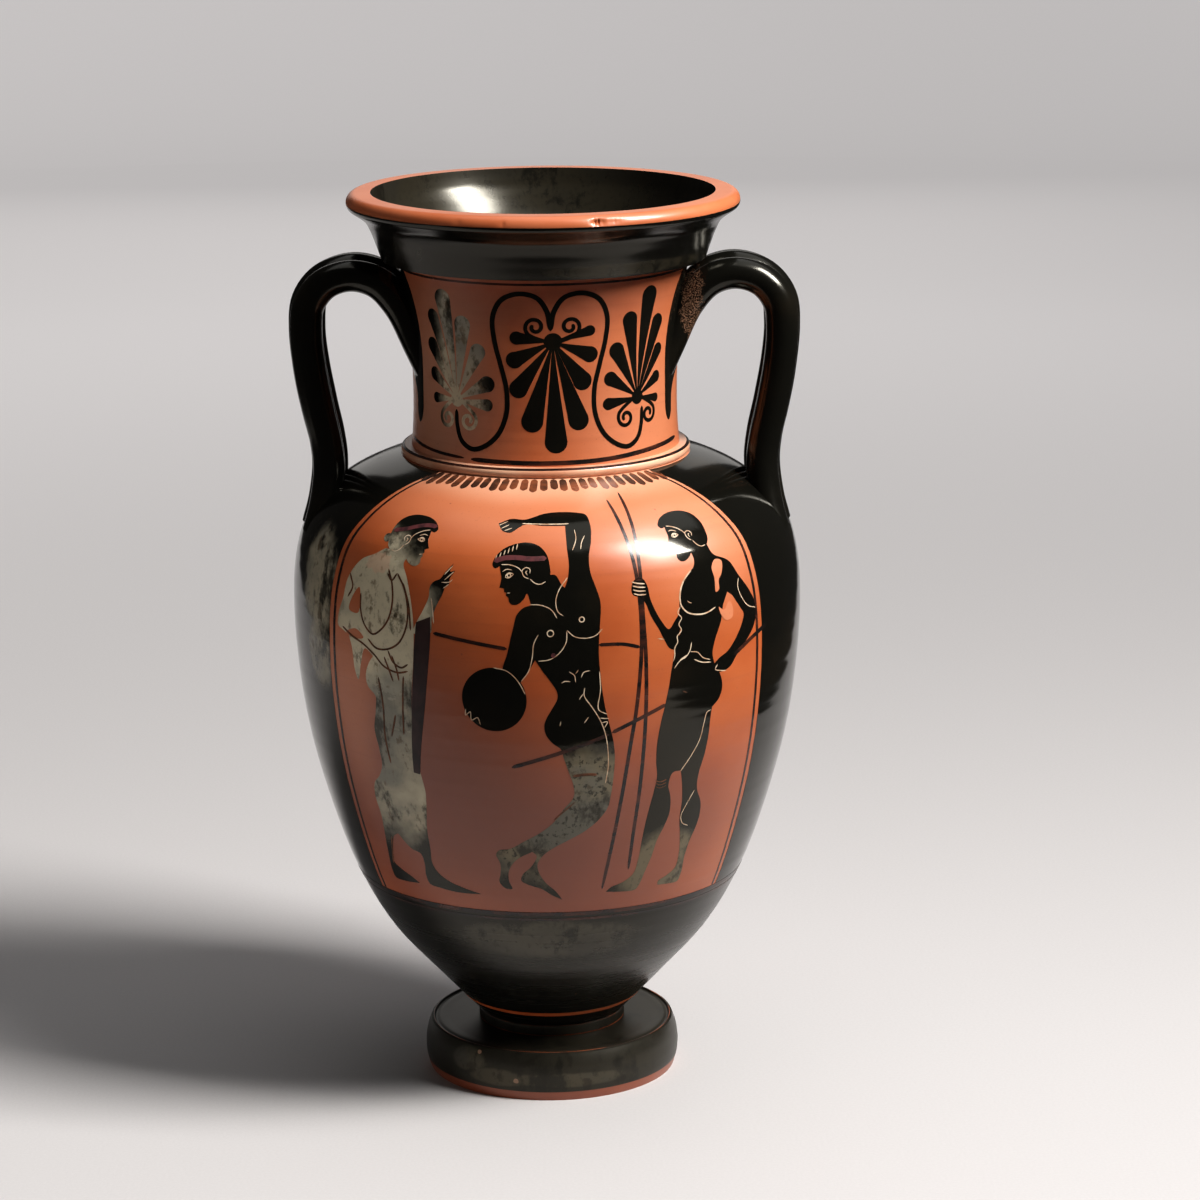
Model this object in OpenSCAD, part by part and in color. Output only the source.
// Two-handled amphora of fired clay, thrown in sections and luted together.
// Foot on the XY plane, axis of the vessel on Z, handles along +X and -X.

/* [Foot] */
// Largest radius of the foot disc
foot_r = 47.6; // [44:0.2:52]
// Height of the foot disc
foot_h = 18.2; // [16:0.2:20]
// Width of the ring that the vessel stands on
standing_w = 8; // [6:0.5:12]
// Height of the hollow under the foot
recess_h = 9; // [6:0.5:10]
// Radius of the raised band between foot and body
fillet_r = 27.4; // [26:0.2:29]
// Height of the raised band between foot and body
fillet_h = 4.2; // [3:0.2:5]

/* [Body] */
// Largest radius of the body
body_r = 93; // [89:0.5:96]
// Height at which the neck stands on the shoulder
shoulder_z = 234.6; // [230:0.2:240]
// Wall thickness of the body
body_wall = 4.6; // [4:0.2:5.4]
// Thickness of the floor inside the body
floor_h = 8; // [6:0.5:12]

/* [Neck] */
// Smallest outer radius of the neck
waist_r = 48; // [47:0.2:49]
// Height of the narrowest place of the neck
waist_z = 256; // [252:1:262]
// Outer radius of the neck at its foot
neck_foot_r = 48.9; // [48.8:0.1:49.4]
// Outer radius of the neck under the mouth
neck_top_r = 52.6; // [52:0.2:53.4]
// Wall thickness of the neck
neck_wall = 4.6; // [4.4:0.2:5]
// Height of the moulded ring around the foot of the neck
collar_h = 3.6; // [2.8:0.2:4.4]
// Outer radius of the moulded ring
collar_r = 52.8; // [52.4:0.1:53.2]

/* [Mouth] */
// Height of the underside of the mouth
mouth_z = 306.2; // [305:0.2:308]
// Overall height of the vessel
rim_z = 330; // [328:0.5:333]
// Outer radius of the mouth at its underside
mouth_r = 58.7; // [58:0.1:59.4]
// Outer radius of the rim
rim_r = 71.1; // [70:0.1:72]
// Inner radius of the rim
rim_bore_r = 62.3; // [61.5:0.1:63]

/* [Handles] */
// Radius of the outer ribs of a handle
rib_r = 5.8; // [5.4:0.1:6.2]
// Radius of the middle rib
mid_rib_r = 6.1; // [5.6:0.1:6.4]
// How far the middle rib stands out past the others
mid_rib_step = 0.8; // [0.4:0.1:1.2]
// Distance from rib to rib
rib_pitch = 9.6; // [9.2:0.1:10]
// Distance of the top of the handle from the axis
crown_x = 69.5; // [69:0.1:70.5]
// Height of the middle of the handle at its top
crown_z = 301; // [300:0.2:301.6]

/* [Hidden] */
$fn = 96;

black_slip = [0.09, 0.09, 0.085];
red_clay = [0.72, 0.33, 0.19];

// Heights that the sections share
body_z = foot_h + fillet_h;
floor_z = body_z + floor_h;
spigot_drop = 5;
tongue_h = 2.4;
tenon_h = 3;
// Radii of the seats where one section stands in the next
tenon_r = 16;
seat_r = 24;
spigot_r = 46.6;
tongue_r = 50.4;

// Bow of the foot's side, the height where it is widest, and the edge of its top
side_bow = 22.9;
bulge_z = 8;
edge_drop = 0.5;
edge_w = 1.6;
groove_depth = 0.7;
recess_floor_r = 22;
// How far the inside wall curves in to the floor
floor_round = 2;
// Chamfer of the small band above the foot
fillet_edge = 0.4;

// Steps of a curve between two of its stations
curve_steps = 4;

// Body outline from base to neck: [part of its height, part of its largest radius]
body_shape = [[0, 0.295], [0.09, 0.485], [0.17, 0.643], [0.27, 0.771], [0.41, 0.884],
              [0.55, 0.961], [0.72, 1], [0.83, 0.987], [0.895, 0.94], [0.935, 0.865],
              [0.963, 0.78], [0.984, 0.68], [1, 0.568]];
body_stations = [for (s = body_shape) [s.y * body_r, body_z + s.x * (shoulder_z - body_z)]];

// Middle line of a handle in the XZ plane, from inside the neck over the top
// and down into the shoulder: [distance from the crown, height below the crown]
handle_shape = [[-32, -41], [-24.4, -25.5], [-17, -10.5], [-9.5, -2.5], [0, 0],
                [9.5, -3], [15.3, -10.5], [16.5, -21], [15.3, -35], [12.8, -49],
                [10.2, -61], [9.3, -71], [10.8, -83], [13.5, -93]];
handle_stations = [for (s = handle_shape) [crown_x, crown_z] + s];
// How far from each end the clay is spread out sideways, and by how much
root_len = 34;
root_spread = 0.42;
// Points round a side rib and round each face of the middle rib
side_rib_points = 11;
mid_rib_points = 4;

// Smooth curve through stations, its speed at each one set by the gaps on both sides
function gap(p, i) = sqrt(norm(p[i + 1] - p[i]));
function pull(p, i) =
    i == 0 ? (p[1] - p[0]) / gap(p, 0) :
    i == len(p) - 1 ? (p[i] - p[i - 1]) / gap(p, i - 1) :
    (gap(p, i - 1) * (p[i + 1] - p[i]) / gap(p, i)
        + gap(p, i) * (p[i] - p[i - 1]) / gap(p, i - 1)) / (gap(p, i - 1) + gap(p, i));
function between(p, i, t) =
    (2 * t * t * t - 3 * t * t + 1) * p[i]
    + (t * t * t - 2 * t * t + t) * gap(p, i) * pull(p, i)
    + (3 * t * t - 2 * t * t * t) * p[i + 1]
    + (t * t * t - t * t) * gap(p, i) * pull(p, i + 1);
function curve(p) = concat(
    [for (i = [0 : len(p) - 2], k = [0 : curve_steps - 1]) between(p, i, k / curve_steps)],
    [p[len(p) - 1]]);

// The same curve moved towards the axis side by the wall thickness
function ahead(p, i) = p[min(i + 1, len(p) - 1)] - p[max(i - 1, 0)];
function inward(p, w) = [for (i = [0 : len(p) - 1])
    let (t = ahead(p, i) / norm(ahead(p, i))) p[i] + w * [-t.y, t.x]];
function reversed(p) = [for (i = [len(p) - 1 : -1 : 0]) p[i]];
function arc(c, r, a, b, n) = [for (k = [0 : n])
    let (w = a + (b - a) * k / n) c + r * [cos(w), sin(w)]];

// Outer radius of the neck at a height
function neck_outer(z) = z < waist_z
    ? waist_r + (neck_foot_r - waist_r) * pow((waist_z - z) / (waist_z - collar_top_z), 2)
    : waist_r + (neck_top_r - waist_r) * pow((z - waist_z) / (mouth_z - waist_z), 2);
collar_top_z = shoulder_z + collar_h;
neck_steps = 16;
neck_line = [for (k = [0 : neck_steps])
    let (z = collar_top_z + (mouth_z - collar_top_z) * k / neck_steps) [neck_outer(z), z]];

body_line = curve(body_stations);

// Outside of the mouth, the rounded lip, and the throat inside:
// [distance past a starting radius, distance from a starting height]
lip_r = 3.4;
lip_start = -38;
mouth_shape = [[0, 0], [1.8, 5], [3.7, 10], [5.9, 14]];
throat_shape = [[0, 0], [-1.6, -6], [-4.7, -12], [-8, -17]];
lip_line = arc([rim_r - lip_r, rim_z - lip_r], lip_r, lip_start, 90, 10);
mouth_line = curve(concat([for (s = mouth_shape) [mouth_r, mouth_z] + s], [lip_line[0]]));
throat_line = curve(concat([for (s = throat_shape) [rim_bore_r, rim_z] + s],
                           [[tongue_r, mouth_z + tongue_h]]));

// Solid plugs of the outer shapes, for fitting the handles against the vessel
module body_plug() {
    rotate_extrude() polygon(concat([[0, body_z]], body_line, [[0, shoulder_z]]));
}

module neck_plug() {
    rotate_extrude() polygon(concat(
        [[0, shoulder_z], [neck_foot_r, shoulder_z]], neck_line, [[0, mouth_z]]));
}

module mouth_plug() {
    rotate_extrude() polygon(concat([[0, mouth_z]], mouth_line, lip_line, [[0, rim_z]]));
}

// Disc foot with a convex edge, a fine groove inside the edge of its top,
// a hollow underside and a socket for the body's tenon
module foot() {
    bow = arc([foot_r - side_bow, bulge_z], side_bow, -asin(bulge_z / side_bow),
              asin((foot_h - edge_drop - bulge_z) / side_bow), 10);
    standing_r = bow[0].x;
    edge_r = bow[10].x;
    color(black_slip) rotate_extrude() polygon(concat(
        bow,
        [[edge_r - edge_w / 2, foot_h - groove_depth / 5], [edge_r - edge_w, foot_h - groove_depth],
         [edge_r - 2 * edge_w, foot_h - groove_depth / 2], [fillet_r, foot_h],
         [tenon_r, foot_h], [tenon_r, foot_h - tenon_h], [0, foot_h - tenon_h],
         [0, recess_h], [recess_floor_r, recess_h], [standing_r - standing_w, 0]]));
}

// Raised band that covers the joint of foot and body
module foot_fillet() {
    color(black_slip) rotate_extrude() polygon([
        [seat_r, foot_h], [fillet_r - fillet_edge, foot_h], [fillet_r, foot_h + fillet_edge],
        [fillet_r, body_z - fillet_edge], [fillet_r - fillet_edge, body_z], [seat_r, body_z]]);
}

// Hollow ovoid body, open at the shoulder for the neck's spigot
module body() {
    inner = [for (p = inward(body_line, body_wall))
        if (p.y > floor_z && (p.x > spigot_r || p.y < shoulder_z / 2)) p];
    color(black_slip) rotate_extrude() polygon(concat(
        [[0, foot_h - tenon_h], [tenon_r, foot_h - tenon_h], [tenon_r, foot_h],
         [seat_r, foot_h], [seat_r, body_z]],
        body_line,
        [[spigot_r, shoulder_z], [spigot_r, inner[len(inner) - 1].y]],
        reversed(inner),
        [[inner[0].x - floor_round, floor_z], [0, floor_z]]));
}

// Moulded ring in the corner between neck and shoulder
module neck_collar() {
    bead_r = collar_h / 2;
    color(red_clay) rotate_extrude() polygon(concat(
        [[neck_foot_r, shoulder_z]],
        arc([collar_r - bead_r, shoulder_z + bead_r], bead_r, -90, 90, 8),
        [[neck_foot_r, collar_top_z]]));
}

// Waisted neck with a spigot below and a tongue above
module neck() {
    inner = [for (p = neck_line) [p.x - neck_wall, p.y]];
    color(red_clay) rotate_extrude() polygon(concat(
        [[spigot_r, shoulder_z - spigot_drop], [spigot_r, shoulder_z], [neck_foot_r, shoulder_z]],
        neck_line,
        [[tongue_r, mouth_z], [tongue_r, mouth_z + tongue_h],
         [tongue_r - 1, mouth_z + tongue_h]],
        reversed(inner),
        [[neck_foot_r - neck_wall, shoulder_z - spigot_drop]]));
}

// Flaring mouth with a rounded lip, grooved below for the neck's tongue
module mouth() {
    color(black_slip) rotate_extrude() polygon(concat(
        mouth_line, lip_line, throat_line, [[tongue_r, mouth_z]]));
}

// Cross section of a handle: three round ribs side by side, [outwards, sideways]
rib_gap = norm([mid_rib_step, rib_pitch]);
function crease(a, b) = acos((rib_gap * rib_gap + a * a - b * b) / (2 * rib_gap * a));
crease_a = crease(rib_r, mid_rib_r);
crease_b = crease(mid_rib_r, rib_r);
lean = atan2(mid_rib_step, rib_pitch);
function open_arc(c, r, a, b, n) = [for (k = [0 : n - 1]) let (w = a + (b - a) * (k + 0.5) / n)
    c + r * [cos(w), sin(w)]];
rib_section = concat(
    arc([0, -rib_pitch], rib_r, 90 - lean + crease_a - 360, 90 - lean - crease_a, side_rib_points),
    open_arc([mid_rib_step, 0], mid_rib_r, -90 - lean + crease_b, 90 + lean - crease_b, mid_rib_points),
    arc([0, rib_pitch], rib_r, -90 + lean + crease_a, 270 + lean - crease_a, side_rib_points),
    open_arc([mid_rib_step, 0], mid_rib_r, 90 + lean + crease_b, 270 - lean - crease_b, mid_rib_points));

// The section set up at each step of the middle line, spread out near both ends
handle_line = curve(handle_stations);
function along(i) = i == 0 ? 0 : along(i - 1) + norm(handle_line[i] - handle_line[i - 1]);
function spread(i) = let (d = min(along(i), along(len(handle_line) - 1) - along(i)))
    1 + root_spread * pow(max(0, 1 - d / root_len), 2);
handle_rings = [for (i = [0 : len(handle_line) - 1])
    let (p = handle_line[i], t = ahead(handle_line, i) / norm(ahead(handle_line, i)))
    [for (q = rib_section) [p.x - q.x * t.y, q.y * spread(i), p.y + q.x * t.x]]];

// Solid skinned over a row of rings that have the same number of points
module skin(rings) {
    n = len(rings[0]);
    last = len(rings) - 1;
    polyhedron(
        points = [for (r = rings, p = r) p],
        faces = concat(
            [[for (k = [0 : n - 1]) k]],
            [for (i = [0 : last - 1], k = [0 : n - 1])
                let (m = (k + 1) % n) [i * n + k, (i + 1) * n + k, (i + 1) * n + m]],
            [for (i = [0 : last - 1], k = [0 : n - 1])
                let (m = (k + 1) % n) [i * n + k, (i + 1) * n + m, i * n + m]],
            [[for (k = [n - 1 : -1 : 0]) last * n + k]]));
}

// Ribbed handle, cut to sit against the neck, the mouth and the shoulder
module handle() {
    color(black_slip) difference() {
        skin(handle_rings);
        body_plug();
        neck_plug();
        mouth_plug();
        neck_collar();
    }
}

module handle_left() { mirror([1, 0, 0]) handle(); }

module handle_right() { handle(); }

foot();
foot_fillet();
body();
neck_collar();
neck();
mouth();
handle_left();
handle_right();
